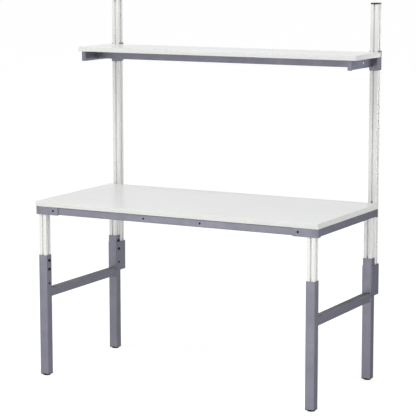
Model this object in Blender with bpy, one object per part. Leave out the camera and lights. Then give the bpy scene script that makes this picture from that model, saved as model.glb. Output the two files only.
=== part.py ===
"""Height-adjustable packing bench with two rear uprights and a shelf.

The bench stands on two welded side frames of square tube. Four slotted aluminium legs slide in the
tubes and carry the worktop on its steel frame, so that the whole top can be set higher or lower.
Two slotted uprights stand behind the rear tubes in folded brackets. They carry the shelf on folded
collars, whose bolts grip in the slots and let the shelf be set higher or lower.
X runs from left to right, Y from front to back and Z up. The origin is on the floor, in the middle.
"""
import math

import bmesh
import bpy
from mathutils import Matrix

for leftover in list(bpy.data.objects):
    bpy.data.objects.remove(leftover, do_unlink=True)

# Clearances, in metres like every size below
CLEARANCE = 0.0003          # left between two pieces that touch
SLIDE_CLEARANCE = 0.0005    # round a leg in its tube
SWEEP_CLEARANCE = 0.001     # from the rear edge of the moving top to the uprights
OVERRUN = 0.004             # how far a cutter runs past the wall that it cuts

# Worktop
WORKTOP_WIDTH = 1.500
WORKTOP_DEPTH = 0.700
WORKTOP_THICKNESS = 0.025
WORKTOP_HEIGHT = 0.864      # top face above the floor, as photographed
BOARD_CORNER = 0.003        # plan radius of a board's corners
BOARD_EDGE = 0.001          # rounding along a board's edges

# Steel frame under the worktop
FRAME_SETBACK = 0.0005      # of the frame's faces from the board's edges
RAIL_HEIGHT = 0.036
RAIL_WALL = 0.002
RAIL_BEND = 0.0035          # outside radius of a fold
END_RAIL_DEPTH = 0.020      # front and rear rails
SIDE_RAIL_DEPTH = 0.016     # left and right rails
CORNER_WALL = 0.003
CORNER_BEND = 0.009
CORNER_FRONT_REACH = 0.127  # of a corner bracket along the front or the rear
CORNER_SIDE_REACH = 0.030   # of a corner bracket along the side
CORNER_DROP = 0.003         # how far a corner bracket hangs below the rails
HEAD_LAP = 0.006            # of a corner bracket's head plate past the leg
RAIL_HOLE = 0.0045          # radius of the accessory holes
RAIL_HOLE_X = 0.150         # accessory holes from the middle
CORNER_HOLE_INSET = 0.0275  # hole from a corner bracket's end

# Slotted aluminium profile of the legs and the uprights
PROFILE_SIDE = 0.040
PROFILE_CORNER = 0.0025
SLOT_OPENING = 0.008
SLOT_LIP = 0.003
SLOT_CHAMBER = 0.016
SLOT_FLOOR = 0.008
SLOT_DEPTH = 0.011
SLOT_SHOULDER = 0.003       # straight part of the chamber's side walls
CORE_BORE = 0.0034          # radius
POCKET_WALL = 0.0018        # round the hollow in each corner of the profile

# Side frames
TUBE_WALL = 0.002
TUBE_CORNER = 0.004
TUBE_TOP = 0.600
BAR_SIDE = 0.040
BAR_TOP = 0.4305
LEG_LENGTH = 0.590

# Feet
PAD_HEIGHT = 0.006
PAD_RADIUS = 0.0185
PAD_ROUNDING = 0.0025
FOOT_GAP = 0.0003           # from a pad to its insert, with the foot screwed right in
INSERT_FLANGE = 0.003
INSERT_DEPTH = 0.022
STEM_RADIUS = 0.005
STEM_TOP = 0.005            # stem above the insert
STEM_CLEARANCE = 0.0002

# Brackets that hold the uprights to the rear tubes. The shelf's collars are of the same sheet.
BRACKET_WALL = 0.003
BRACKET_BEND = 0.005
BRACKET_DROP = 0.0365       # below the tube's top
BRACKET_HEIGHT = 0.1485
BRACKET_SETBACK = 0.004     # behind the tube's front face

# Uprights
UPRIGHT_FOOT_RISE = 0.001   # of an upright's lower end above its bracket's
UPRIGHT_LENGTH = 1.395
CAP_THICKNESS = 0.007
CAP_EDGE = 0.0015
PLUG_LENGTH = 0.012
GLIDE_THICKNESS = 0.005
GLIDE_CLEARANCE = 0.0003

# Screws
SCREW_RADIUS = 0.005
SCREW_HEAD_RADIUS = 0.007
SCREW_HEAD_HEIGHT = 0.005
SCREW_HEAD_EDGE = 0.0012
SOCKET_RADIUS = 0.003
SOCKET_DEPTH = 0.0025
UPPER_SCREW_DROP = 0.028    # below the tube's top
LOWER_SCREW_DROP = 0.071
SLOT_BOLT_RADIUS = 0.0035
SLOT_NUT_WIDTH = 0.014
SLOT_NUT_HEIGHT = 0.007
SLOT_NUT_THICKNESS = 0.0035
SLOT_BOLT_INSET = 0.040     # from the bracket's two ends

# Shelf
SHELF_DEPTH = 0.300
SHELF_THICKNESS = 0.022
SHELF_RISE = 0.722          # of the shelf's top above the worktop's
SHELF_OVERHANG = 0.0215     # of the board past the arms
ARM_OFFSET = 0.0052         # of an arm's inner face from the middle of its upright
ARM_WALL = 0.003
ARM_WIDTH = 0.0205
ARM_HEIGHT = 0.0465
ARM_FRONT_SETBACK = 0.002   # from the shelf's front edge
ARM_TAIL_ROUNDING = 0.012
ARM_HOLE_RADIUS = 0.0065
ARM_HOLE_FORWARD = 0.108    # from the arm's rear end
BEAM_HEIGHT = 0.040
BEAM_DEPTH = 0.025
BEAM_WALL = 0.002
BEAM_CORNER = 0.003
BEAM_FORWARD = 0.1525       # from the beam's rear face to the arm's rear end
COLLAR_RISE = 0.006         # above the shelf's top
COLLAR_FALL = 0.066        # below the shelf's underside
COLLAR_ROUNDING = 0.008     # of the lower corners, seen from the front
COLLAR_FLANGE_STEP = 0.006  # how far the flanges step back above the web
COLLAR_BOLT_LOW = 0.020     # above the collar's lower edge
COLLAR_BOLT_HIGH = 0.062

# How many straight pieces stand for a quarter or a whole turn
CORNER_STEPS = 4
BORE_SIDES = 12
HOLE_SIDES = 20
TURNED_SIDES = 24
HEXAGON = 6
DECIMALS = 7                # kept of a point's place in metres, so that flat faces are truly flat

# Places worked out from the sizes above
tube_side = PROFILE_SIDE + 2 * (SLIDE_CLEARANCE + TUBE_WALL)
tube_bore = PROFILE_SIDE + 2 * SLIDE_CLEARANCE
leg_edge_setback = FRAME_SETBACK + CORNER_WALL + CLEARANCE
tube_overhang = max(0.0, SLIDE_CLEARANCE + TUBE_WALL - leg_edge_setback)
bolt_head_reach = CLEARANCE + SCREW_HEAD_HEIGHT
overall_depth = (WORKTOP_DEPTH + tube_overhang + SWEEP_CLEARANCE + PROFILE_SIDE
                 + CLEARANCE + BRACKET_WALL + bolt_head_reach)

front_y = -overall_depth / 2
worktop_rear_y = front_y + WORKTOP_DEPTH
upright_front_y = worktop_rear_y + tube_overhang + SWEEP_CLEARANCE
upright_y = upright_front_y + PROFILE_SIDE / 2
upright_rear_y = upright_front_y + PROFILE_SIDE

leg_x = WORKTOP_WIDTH / 2 - FRAME_SETBACK - SIDE_RAIL_DEPTH - CLEARANCE - PROFILE_SIDE / 2
corner_hole_x = WORKTOP_WIDTH / 2 - FRAME_SETBACK - CORNER_FRONT_REACH + CORNER_HOLE_INSET
leg_front_y = front_y + leg_edge_setback + PROFILE_SIDE / 2
leg_rear_y = worktop_rear_y - leg_edge_setback - PROFILE_SIDE / 2

frame_top = WORKTOP_HEIGHT - WORKTOP_THICKNESS - CLEARANCE
leg_top = frame_top - CORNER_WALL - CLEARANCE
insert_bottom = PAD_HEIGHT + FOOT_GAP
tube_bottom = insert_bottom + INSERT_FLANGE + CLEARANCE
bracket_bottom = TUBE_TOP - BRACKET_DROP - BRACKET_HEIGHT
upright_bottom = bracket_bottom + UPRIGHT_FOOT_RISE
upright_top = upright_bottom + UPRIGHT_LENGTH

shelf_top = WORKTOP_HEIGHT + SHELF_RISE
shelf_bottom = shelf_top - SHELF_THICKNESS
arm_x = leg_x - ARM_OFFSET
shelf_width = 2 * (arm_x + ARM_WIDTH + SHELF_OVERHANG)
collar_front_y = upright_front_y - CLEARANCE - BRACKET_WALL
shelf_rear_y = min(worktop_rear_y, upright_front_y - SWEEP_CLEARANCE)
arm_rear_y = collar_front_y - CLEARANCE
arm_front_y = shelf_rear_y - SHELF_DEPTH + ARM_FRONT_SETBACK
collar_bottom = shelf_bottom - COLLAR_FALL
collar_height = COLLAR_FALL + SHELF_THICKNESS + COLLAR_RISE


def finish(name, colour, roughness, metallic=0.0):
    """Make a plain material for one kind of surface."""
    material = bpy.data.materials.new(name)
    material.use_nodes = True
    shader = material.node_tree.nodes["Principled BSDF"]
    shader.inputs["Base Color"].default_value = (*colour, 1.0)
    shader.inputs["Roughness"].default_value = roughness
    shader.inputs["Metallic"].default_value = metallic
    material.diffuse_color = (*colour, 1.0)
    return material


laminate = finish("laminate", (0.80, 0.80, 0.78), 0.55)
blue_grey_paint = finish("blue_grey_paint", (0.20, 0.20, 0.24), 0.45)
anodised_aluminium = finish("anodised_aluminium", (0.78, 0.79, 0.76), 0.35, 0.6)
black_plastic = finish("black_plastic", (0.02, 0.02, 0.02), 0.5)
grey_plastic = finish("grey_plastic", (0.10, 0.10, 0.11), 0.5)
black_steel = finish("black_steel", (0.03, 0.03, 0.03), 0.4, 0.8)


def arc(centre_x, centre_y, radius, start, end, steps):
    """Points on an arc from one angle to another, both ends included."""
    angles = [start + (end - start) * step / steps for step in range(steps + 1)]
    return [(centre_x + radius * math.cos(a), centre_y + radius * math.sin(a)) for a in angles]


def circle(radius, sides, centre_x=0.0, centre_y=0.0):
    """A ring of points that starts half a side away from the X axis."""
    start = math.pi / sides
    return arc(centre_x, centre_y, radius, start, start + 2 * math.pi, sides)[:-1]


def rectangle(low_x, low_y, high_x, high_y):
    return [(low_x, low_y), (high_x, low_y), (high_x, high_y), (low_x, high_y)]


def rounded_rectangle(width, depth, radius, steps=CORNER_STEPS):
    """A rectangle about the origin with four round corners, counter-clockwise."""
    right, back = width / 2 - radius, depth / 2 - radius
    quarter = math.pi / 2
    corners = ((right, back), (-right, back), (-right, -back), (right, -back))
    outline = []
    for turn, (x, y) in enumerate(corners):
        outline += arc(x, y, radius, turn * quarter, (turn + 1) * quarter, steps)
    return outline


def folded_sheet(path, wall, bend, steps=CORNER_STEPS):
    """Outline of a sheet folded at right angles, given the outer face as a path that turns left."""
    outer, inner = [], []
    last = len(path) - 1
    for index, (x, y) in enumerate(path):
        before = path[max(index - 1, 0)]
        after = path[min(index + 1, last)]
        if index in (0, last):
            run_x, run_y = after[0] - before[0], after[1] - before[1]
            length = math.hypot(run_x, run_y)
            outer.append((x, y))
            inner.append((x - run_y / length * wall, y + run_x / length * wall))
            continue
        come = math.atan2(y - before[1], x - before[0])
        centre_x = x - bend * math.cos(come) - bend * math.sin(come)
        centre_y = y - bend * math.sin(come) + bend * math.cos(come)
        start = come - math.pi / 2
        outer += arc(centre_x, centre_y, bend, start, come, steps)
        inner += arc(centre_x, centre_y, bend - wall, start, come, steps)
    return outer + inner[::-1]


def to_mesh(shape, name):
    shape.normal_update()
    bmesh.ops.recalc_face_normals(shape, faces=shape.faces[:])
    mesh = bpy.data.meshes.new(name)
    shape.to_mesh(mesh)
    shape.free()
    return mesh


def prism(outlines, low, high, along="Z"):
    """Fill the first outline less the others, and draw the face from low to high.

    The outline's two numbers are X and Y along Z, Y and Z along X, and X and Z along Y.
    """
    shape = bmesh.new()
    edges = []
    for outline in outlines:
        ring = [shape.verts.new((a, b, 0.0)) for a, b in outline]
        edges += [shape.edges.new(pair) for pair in zip(ring, ring[1:] + ring[:1])]
    bmesh.ops.triangle_fill(shape, use_beauty=True, use_dissolve=False, edges=edges)
    drawn = bmesh.ops.extrude_face_region(shape, geom=shape.faces[:])["geom"]
    far_end = [item for item in drawn if isinstance(item, bmesh.types.BMVert)]
    bmesh.ops.translate(shape, verts=far_end, vec=(0.0, 0.0, 1.0))
    for vert in shape.verts:
        a, b = round(vert.co.x, DECIMALS), round(vert.co.y, DECIMALS)
        c = round(low + (high - low) * vert.co.z, DECIMALS)
        vert.co = {"X": (c, a, b), "Y": (a, c, b), "Z": (a, b, c)}[along]
    return to_mesh(shape, "prism")


def loft(sections, ring_shaped=False):
    """Skin a run of (outline, height) sections that have as many points as each other.

    The two ends are closed, or the last section joins the first for a piece with a bore.
    """
    shape = bmesh.new()
    rings = [[shape.verts.new((x, y, height)) for x, y in outline] for outline, height in sections]
    pairs = list(zip(rings, rings[1:]))
    if ring_shaped:
        pairs.append((rings[-1], rings[0]))
    else:
        shape.faces.new(rings[0][::-1])
        shape.faces.new(rings[-1])
    for lower, upper in pairs:
        for index in range(len(lower)):
            following = (index + 1) % len(lower)
            shape.faces.new((lower[index], lower[following], upper[following], upper[index]))
    return to_mesh(shape, "loft")


def turned(profile, sides=TURNED_SIDES):
    """Turn (radius, height) points about Z."""
    return loft([(circle(radius, sides), height) for radius, height in profile])


def worked(mesh, operation, tools):
    """Cut tool meshes out of a mesh, add them to it, or keep what they share with it."""
    scene = bpy.context.scene.collection
    host = bpy.data.objects.new("host", mesh)
    scene.objects.link(host)
    guides = []
    for tool in tools:
        guide = bpy.data.objects.new("guide", tool)
        scene.objects.link(guide)
        guides.append(guide)
        step = host.modifiers.new("Boolean", "BOOLEAN")
        step.operation = operation
        step.solver = "EXACT"
        step.object = guide
    graph = bpy.context.evaluated_depsgraph_get()
    result = bpy.data.meshes.new_from_object(host.evaluated_get(graph))
    for spare in [host] + guides:
        bpy.data.objects.remove(spare, do_unlink=True)
    return result


def mirrored(mesh):
    """The same mesh with its left and right exchanged."""
    shape = bmesh.new()
    shape.from_mesh(mesh)
    bmesh.ops.transform(shape, matrix=Matrix.Diagonal((-1.0, 1.0, 1.0, 1.0)), verts=shape.verts[:])
    return to_mesh(shape, "mirrored")


def empty(name, parent=None):
    holder = bpy.data.objects.new(name, None)
    bpy.context.scene.collection.objects.link(holder)
    holder.parent = parent
    return holder


def piece(name, mesh, material, parent, place=(0.0, 0.0, 0.0), turn=(0.0, 0.0, 0.0), smooth=False):
    """Put a named sub-part in the scene. Its mesh may be shared by its copies."""
    mesh.materials.clear()
    mesh.materials.append(material)
    if smooth:
        mesh.shade_smooth()
        mesh.set_sharp_from_angle(angle=math.radians(40))
    obj = bpy.data.objects.new(name, mesh)
    bpy.context.scene.collection.objects.link(obj)
    obj.location = place
    obj.rotation_euler = turn
    obj.parent = parent
    return obj


base = empty("base")
table = empty("table_height_slide")
shelf = empty("shelf_height_slide")

half_turn = (0.0, 0.0, math.pi)
no_turn = (0.0, 0.0, 0.0)
sides = (("left", -1), ("right", 1))
corners = [(f"{side}_{end}", hand, end) for side, hand in sides for end in ("front", "rear")]


def inward(hand):
    """The turn that faces a piece made for the left side towards the middle of the bench."""
    return no_turn if hand < 0 else half_turn


def corner_y(end):
    return leg_front_y if end == "front" else leg_rear_y


# Slotted profile

def slotted_outline():
    """One quarter of the section is a corner and the slot after it, turned four times."""
    half = PROFILE_SIDE / 2
    slot = [(half, -SLOT_OPENING / 2),
            (half - SLOT_LIP, -SLOT_OPENING / 2),
            (half - SLOT_LIP, -SLOT_CHAMBER / 2),
            (half - SLOT_LIP - SLOT_SHOULDER, -SLOT_CHAMBER / 2),
            (half - SLOT_DEPTH, -SLOT_FLOOR / 2)]
    slot += [(x, -y) for x, y in slot[::-1]]
    middle = half - PROFILE_CORNER
    quarter = slot + arc(middle, middle, PROFILE_CORNER, 0.0, math.pi / 2, CORNER_STEPS)
    outline = []
    for turn in range(4):
        cosine, sine = round(math.cos(turn * math.pi / 2)), round(math.sin(turn * math.pi / 2))
        outline += [(x * cosine - y * sine, x * sine + y * cosine) for x, y in quarter]
    return outline


def slotted_profile(length):
    """The extruded section with its slots, the core bore and a hollow in each corner."""
    low = SLOT_CHAMBER / 2 + POCKET_WALL
    high = PROFILE_SIDE / 2 - POCKET_WALL
    pocket = rectangle(low, low, high, high)
    pockets = [[(x * a, y * b) for x, y in pocket] for a in (-1, 1) for b in (-1, 1)]
    return prism([slotted_outline(), circle(CORE_BORE, BORE_SIDES)] + pockets, 0.0, length)


# Side frames: tubes, cross bars and feet

def tube_section(width, height, corner, wall):
    return [rounded_rectangle(width, height, corner),
            rounded_rectangle(width - 2 * wall, height - 2 * wall, corner - wall)]


def screw_hole(height, reach_from, reach_to):
    """A cutter along X for a clamp screw's shank."""
    ring = circle(SCREW_RADIUS + CLEARANCE, HOLE_SIDES, 0.0, height)
    return prism([ring], reach_from, reach_to, along="X")


def outer_tube():
    """A square tube with two clamp screw holes in the face that looks at the middle."""
    mesh = prism(tube_section(tube_side, tube_side, TUBE_CORNER, TUBE_WALL), tube_bottom, TUBE_TOP)
    inside, outside = PROFILE_SIDE / 2 - OVERRUN, tube_side / 2 + OVERRUN
    holes = [screw_hole(TUBE_TOP - drop, inside, outside)
             for drop in (UPPER_SCREW_DROP, LOWER_SCREW_DROP)]
    return worked(mesh, "DIFFERENCE", holes)


def foot_insert():
    """A plug in the tube's end, with a flange under the tube and a bore for the foot's stem."""
    bore = circle(STEM_RADIUS + STEM_CLEARANCE, HOLE_SIDES)
    flange = rounded_rectangle(tube_side, tube_side, TUBE_CORNER)
    body_side = tube_bore - 2 * CLEARANCE
    body = rounded_rectangle(body_side, body_side, TUBE_CORNER - TUBE_WALL)
    flange_top = tube_bottom - CLEARANCE
    top = tube_bottom + INSERT_DEPTH
    return loft([(bore, insert_bottom), (flange, insert_bottom), (flange, flange_top),
                 (body, flange_top), (body, top), (bore, top)], ring_shaped=True)


def levelling_foot():
    """A round pad with a rounded lower edge and the threaded stem above it, as one piece."""
    stem_end = tube_bottom + INSERT_DEPTH + STEM_TOP
    edge = arc(PAD_RADIUS - PAD_ROUNDING, PAD_ROUNDING, PAD_ROUNDING, -math.pi / 2, 0.0, CORNER_STEPS)
    tip = STEM_RADIUS - CLEARANCE
    profile = edge + [(PAD_RADIUS, PAD_HEIGHT), (STEM_RADIUS, PAD_HEIGHT),
                      (STEM_RADIUS, stem_end - CLEARANCE), (tip, stem_end)]
    return turned(profile, HOLE_SIDES)


def cross_bar():
    """A square tube between the front and the rear tube, along Y."""
    near = leg_front_y + tube_side / 2 + CLEARANCE
    far = leg_rear_y - tube_side / 2 - CLEARANCE
    section = tube_section(BAR_SIDE, BAR_SIDE, TUBE_CORNER, TUBE_WALL)
    return prism(section, near, far, along="Y")


def end_plug(side, thickness, edge):
    """A square plate with bevelled outer edges and a round plug that fits the profile's bore."""
    pin = circle(CORE_BORE - CLEARANCE, HOLE_SIDES)
    plate = rounded_rectangle(side, side, PROFILE_CORNER)
    face = rounded_rectangle(side - 2 * edge, side - 2 * edge, PROFILE_CORNER)
    return loft([(pin, -PLUG_LENGTH), (pin, 0.0), (plate, 0.0),
                 (plate, thickness - edge), (face, thickness)])


tube_mesh = outer_tube()
insert_mesh = foot_insert()
foot_mesh = levelling_foot()
for corner, hand, end in corners:
    place = (hand * leg_x, corner_y(end), 0.0)
    piece(f"{corner}_tube", tube_mesh, blue_grey_paint, base, place, inward(hand))
    piece(f"{corner}_foot_insert", insert_mesh, black_plastic, base, place)
    foot_slide = empty(f"{corner}_foot_slide", base)
    foot_slide.location = place
    piece(f"{corner}_foot", foot_mesh, black_plastic, foot_slide, smooth=True)

bar_mesh = cross_bar()
for side, hand in sides:
    place = (hand * leg_x, 0.0, BAR_TOP - BAR_SIDE / 2)
    piece(f"{side}_cross_bar", bar_mesh, blue_grey_paint, base, place)


# Clamp screws: their flat ends press on the lips of the slot in the leg or the upright

def clamp_screw(reach):
    """A low screw head at the origin with the shank along -Z, and a hexagon socket."""
    head_top = CLEARANCE + SCREW_HEAD_HEIGHT
    profile = [(SCREW_RADIUS, -reach), (SCREW_RADIUS, CLEARANCE),
               (SCREW_HEAD_RADIUS, CLEARANCE), (SCREW_HEAD_RADIUS, head_top - SCREW_HEAD_EDGE),
               (SCREW_HEAD_RADIUS - SCREW_HEAD_EDGE, head_top)]
    socket = prism([circle(SOCKET_RADIUS, HEXAGON)], head_top - SOCKET_DEPTH, head_top + OVERRUN)
    return worked(turned(profile), "DIFFERENCE", [socket])


def towards_middle(hand):
    """The turn that lays a screw along X with its head towards the middle of the bench."""
    return (0.0, -hand * math.pi / 2, 0.0)


tube_reach = TUBE_WALL + SLIDE_CLEARANCE - CLEARANCE
flange_reach = CLEARANCE + BRACKET_WALL
short_screw = clamp_screw(tube_reach)
long_screw = clamp_screw(tube_reach + flange_reach)
for corner, hand, end in corners:
    tube_face = hand * (leg_x - tube_side / 2)
    flange_face = tube_face - hand * flange_reach
    for level, drop in (("upper", UPPER_SCREW_DROP), ("lower", LOWER_SCREW_DROP)):
        through_bracket = end == "rear" and drop > BRACKET_DROP
        mesh = long_screw if through_bracket else short_screw
        face = flange_face if through_bracket else tube_face
        place = (face, corner_y(end), TUBE_TOP - drop)
        piece(f"{corner}_{level}_clamp_screw", mesh, black_steel, base, place,
              towards_middle(hand), smooth=True)


# Upright brackets, uprights and their bolts

def upright_bracket():
    """A folded channel that embraces the rear tube and the upright behind it, open to the front."""
    half = tube_side / 2 + CLEARANCE + BRACKET_WALL
    front = leg_rear_y - tube_side / 2 + BRACKET_SETBACK
    back = upright_rear_y + CLEARANCE + BRACKET_WALL
    path = [(half, front), (half, back), (-half, back), (-half, front)]
    top = bracket_bottom + BRACKET_HEIGHT
    sheet = prism([folded_sheet(path, BRACKET_WALL, BRACKET_BEND)], bracket_bottom, top)
    ring = circle(SCREW_RADIUS + CLEARANCE, HOLE_SIDES, leg_rear_y, TUBE_TOP - LOWER_SCREW_DROP)
    holes = [prism([ring], tube_side / 2, half + OVERRUN, along="X")]
    for height in slot_bolt_heights:
        bore = circle(SLOT_BOLT_RADIUS + CLEARANCE, HOLE_SIDES, 0.0, height)
        holes.append(prism([bore], back - BRACKET_WALL - CLEARANCE, back + OVERRUN, along="Y"))
    return worked(sheet, "DIFFERENCE", holes)


def slot_bolt():
    """A bolt along Y through a wall that lies on a slotted profile, whose face is at Y 0.

    Its flat nut sits behind the slot's lips and its head on the wall.
    """
    seat = CLEARANCE + BRACKET_WALL + CLEARANCE
    nut_back = -SLOT_LIP - CLEARANCE
    shank = prism([circle(SLOT_BOLT_RADIUS, BORE_SIDES)], nut_back - CLEARANCE, seat + CLEARANCE,
                  along="Y")
    half_width, half_height = SLOT_NUT_WIDTH / 2, SLOT_NUT_HEIGHT / 2
    plate = rectangle(-half_width, -half_height, half_width, half_height)
    nut = prism([plate], nut_back - SLOT_NUT_THICKNESS, nut_back, along="Y")
    head = prism([circle(SCREW_HEAD_RADIUS, HEXAGON)], seat, seat + SCREW_HEAD_HEIGHT, along="Y")
    return worked(shank, "UNION", [nut, head])


slot_bolt_heights = (bracket_bottom + SLOT_BOLT_INSET,
                     bracket_bottom + BRACKET_HEIGHT - SLOT_BOLT_INSET)
bracket_mesh = upright_bracket()
upright_mesh = slotted_profile(UPRIGHT_LENGTH)
cap_mesh = end_plug(PROFILE_SIDE, CAP_THICKNESS, CAP_EDGE)
bolt_mesh = slot_bolt()
for side, hand in sides:
    x = hand * leg_x
    bracket = bracket_mesh if hand < 0 else mirrored(bracket_mesh)
    piece(f"{side}_upright_bracket", bracket, blue_grey_paint, base, (x, 0.0, 0.0))
    piece(f"{side}_upright", upright_mesh, anodised_aluminium, base, (x, upright_y, upright_bottom))
    piece(f"{side}_upright_cap", cap_mesh, grey_plastic, base,
          (x, upright_y, upright_top + CLEARANCE))
    for level, height in zip(("lower", "upper"), slot_bolt_heights):
        piece(f"{side}_bracket_{level}_bolt", bolt_mesh, black_steel, base,
              (x, upright_rear_y, height))


# The worktop and its frame, with the legs that slide in the tubes

def board(width, depth, thickness, name, material, parent, place):
    slab = prism([rounded_rectangle(width, depth, BOARD_CORNER)], -thickness, 0.0)
    obj = piece(name, slab, material, parent, place)
    edge = obj.modifiers.new("Edge", "BEVEL")
    edge.width = BOARD_EDGE
    edge.segments = 2
    edge.limit_method = "ANGLE"
    edge.angle_limit = math.radians(50)
    return obj


def rail(depth, low, high, hole_places=()):
    """A folded channel along X. Its web is at Y 0 and its open side looks along +Y."""
    path = [(depth, frame_top), (0.0, frame_top), (0.0, frame_top - RAIL_HEIGHT),
            (depth, frame_top - RAIL_HEIGHT)]
    mesh = prism([folded_sheet(path, RAIL_WALL, RAIL_BEND)], low, high, along="X")
    holes = [accessory_hole(x, RAIL_WALL) for x in hole_places]
    return worked(mesh, "DIFFERENCE", holes) if holes else mesh


def accessory_hole(x, wall):
    """A cutter along Y through a wall whose front is at Y 0."""
    middle = frame_top - RAIL_HEIGHT / 2
    return prism([circle(RAIL_HOLE, HOLE_SIDES, x, middle)], -OVERRUN, wall + OVERRUN, along="Y")


def corner_bracket():
    """The left front corner: a folded strip round the corner and a plate over the leg's head.

    X is measured from the middle of the bench and Y from the strip's front face.
    """
    outside = -WORKTOP_WIDTH / 2 + FRAME_SETBACK
    path = [(outside, CORNER_SIDE_REACH), (outside, 0.0), (outside + CORNER_FRONT_REACH, 0.0)]
    low = frame_top - RAIL_HEIGHT - CORNER_DROP
    strip = prism([folded_sheet(path, CORNER_WALL, CORNER_BEND)], low, frame_top)
    lap = CORNER_WALL / 2
    inner_x = -leg_x + PROFILE_SIDE / 2 + HEAD_LAP
    outer_x = -leg_x - PROFILE_SIDE / 2
    rear = leg_front_y - front_y - FRAME_SETBACK + PROFILE_SIDE / 2 + HEAD_LAP
    plate = [(inner_x, lap), (inner_x, rear), (outer_x, rear), (outer_x, CORNER_SIDE_REACH),
             (outside + lap, CORNER_SIDE_REACH), (outside + lap, CORNER_BEND), (outside + CORNER_BEND, lap)]
    head = prism([plate[::-1]], frame_top - CORNER_WALL, frame_top)
    bracket = worked(strip, "UNION", [head])
    return worked(bracket, "DIFFERENCE", [accessory_hole(-corner_hole_x, CORNER_WALL)])


board(WORKTOP_WIDTH, WORKTOP_DEPTH, WORKTOP_THICKNESS, "worktop", laminate, table,
      (0.0, (front_y + worktop_rear_y) / 2, WORKTOP_HEIGHT))

end_rail_reach = leg_x - PROFILE_SIDE / 2 - HEAD_LAP - CLEARANCE
end_rail_setback = FRAME_SETBACK + CORNER_WALL + CLEARANCE
hole_places = (-corner_hole_x, -RAIL_HOLE_X, RAIL_HOLE_X, corner_hole_x)
end_rail = rail(END_RAIL_DEPTH, -end_rail_reach, end_rail_reach, hole_places)
piece("front_rail", end_rail, blue_grey_paint, table, (0.0, front_y + end_rail_setback, 0.0))
piece("rear_rail", end_rail, blue_grey_paint, table,
      (0.0, worktop_rear_y - end_rail_setback, 0.0), half_turn)

side_rail_reach = WORKTOP_DEPTH / 2 - FRAME_SETBACK - CORNER_SIDE_REACH - CLEARANCE
side_rail = rail(SIDE_RAIL_DEPTH, -side_rail_reach, side_rail_reach)
for side, hand in sides:
    place = (hand * (WORKTOP_WIDTH / 2 - FRAME_SETBACK), (front_y + worktop_rear_y) / 2, 0.0)
    piece(f"{side}_rail", side_rail, blue_grey_paint, table, place, (0.0, 0.0, hand * math.pi / 2))

left_corner = corner_bracket()
right_corner = mirrored(left_corner)
leg_mesh = slotted_profile(LEG_LENGTH)
glide_mesh = end_plug(tube_bore - 2 * GLIDE_CLEARANCE, GLIDE_THICKNESS, CAP_EDGE)
for corner, hand, end in corners:
    front = end == "front"
    mesh = left_corner if (hand < 0) == front else right_corner
    face_y = front_y + FRAME_SETBACK if front else worktop_rear_y - FRAME_SETBACK
    piece(f"{corner}_corner", mesh, blue_grey_paint, table, (0.0, face_y, 0.0),
          no_turn if front else half_turn)
    leg_bottom = leg_top - LEG_LENGTH
    piece(f"{corner}_leg", leg_mesh, anodised_aluminium, table,
          (hand * leg_x, corner_y(end), leg_bottom))
    piece(f"{corner}_leg_glide", glide_mesh, black_plastic, table,
          (hand * leg_x, corner_y(end), leg_bottom - CLEARANCE), (math.pi, 0.0, 0.0))


# The shelf with its arms, beam and collars

def shelf_arm():
    """The right arm: an upright web with a flange under the board and one across the front."""
    top = shelf_bottom - CLEARANCE
    low = top - ARM_HEIGHT
    tail = arc(arm_rear_y - ARM_TAIL_ROUNDING, low + ARM_TAIL_ROUNDING, ARM_TAIL_ROUNDING,
               -math.pi / 2, 0.0, CORNER_STEPS)
    side_view = [(arm_front_y, low)] + tail + [(arm_rear_y, top), (arm_front_y, top)]
    hole = circle(ARM_HOLE_RADIUS, HOLE_SIDES, arm_rear_y - ARM_HOLE_FORWARD, (low + top) / 2)
    web = prism([side_view, hole], arm_x, arm_x + ARM_WALL, along="X")
    fold = arm_x + ARM_WALL / 2
    outer = arm_x + ARM_WIDTH
    flange = prism([rectangle(fold, arm_front_y + ARM_WALL / 2, outer, arm_rear_y - ARM_WIDTH)],
                   top - ARM_WALL, top)
    front = prism([rectangle(fold, low, outer, top)], arm_front_y, arm_front_y + ARM_WALL, along="Y")
    return worked(web, "UNION", [flange, front])


def collar():
    """A channel that takes the upright between its flanges, with its web below the shelf only.

    The flanges rise past the shelf. The one at +X has the holes for the two slot bolts.
    """
    half = PROFILE_SIDE / 2 + CLEARANCE + BRACKET_WALL
    path = [(-half, half - BRACKET_WALL), (-half, -half), (half, -half), (half, half - BRACKET_WALL)]
    channel = prism([folded_sheet(path, BRACKET_WALL, BRACKET_BEND)], 0.0, collar_height)
    reach = half + OVERRUN
    web_top = COLLAR_FALL - CLEARANCE
    above_web = rectangle(-reach, web_top, reach, collar_height + OVERRUN)
    window = prism([above_web], -reach, COLLAR_FLANGE_STEP - half, along="Y")
    view = arc(half - COLLAR_ROUNDING, COLLAR_ROUNDING, COLLAR_ROUNDING, -math.pi / 2, 0.0,
               CORNER_STEPS)
    view += [(half, collar_height)]
    view += [(-x, z) for x, z in view[::-1]]
    envelope = prism([view], -reach, reach, along="Y")
    formed = worked(worked(channel, "DIFFERENCE", [window]), "INTERSECT", [envelope])
    bores = [circle(SLOT_BOLT_RADIUS + CLEARANCE, HOLE_SIDES, 0.0, height)
             for height in (COLLAR_BOLT_LOW, COLLAR_BOLT_HIGH)]
    holes = [prism([bore], half - BRACKET_WALL - CLEARANCE, reach, along="X") for bore in bores]
    return worked(formed, "DIFFERENCE", holes)


board(shelf_width, SHELF_DEPTH, SHELF_THICKNESS, "shelf_board", laminate, shelf,
      (0.0, shelf_rear_y - SHELF_DEPTH / 2, shelf_top))

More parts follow.
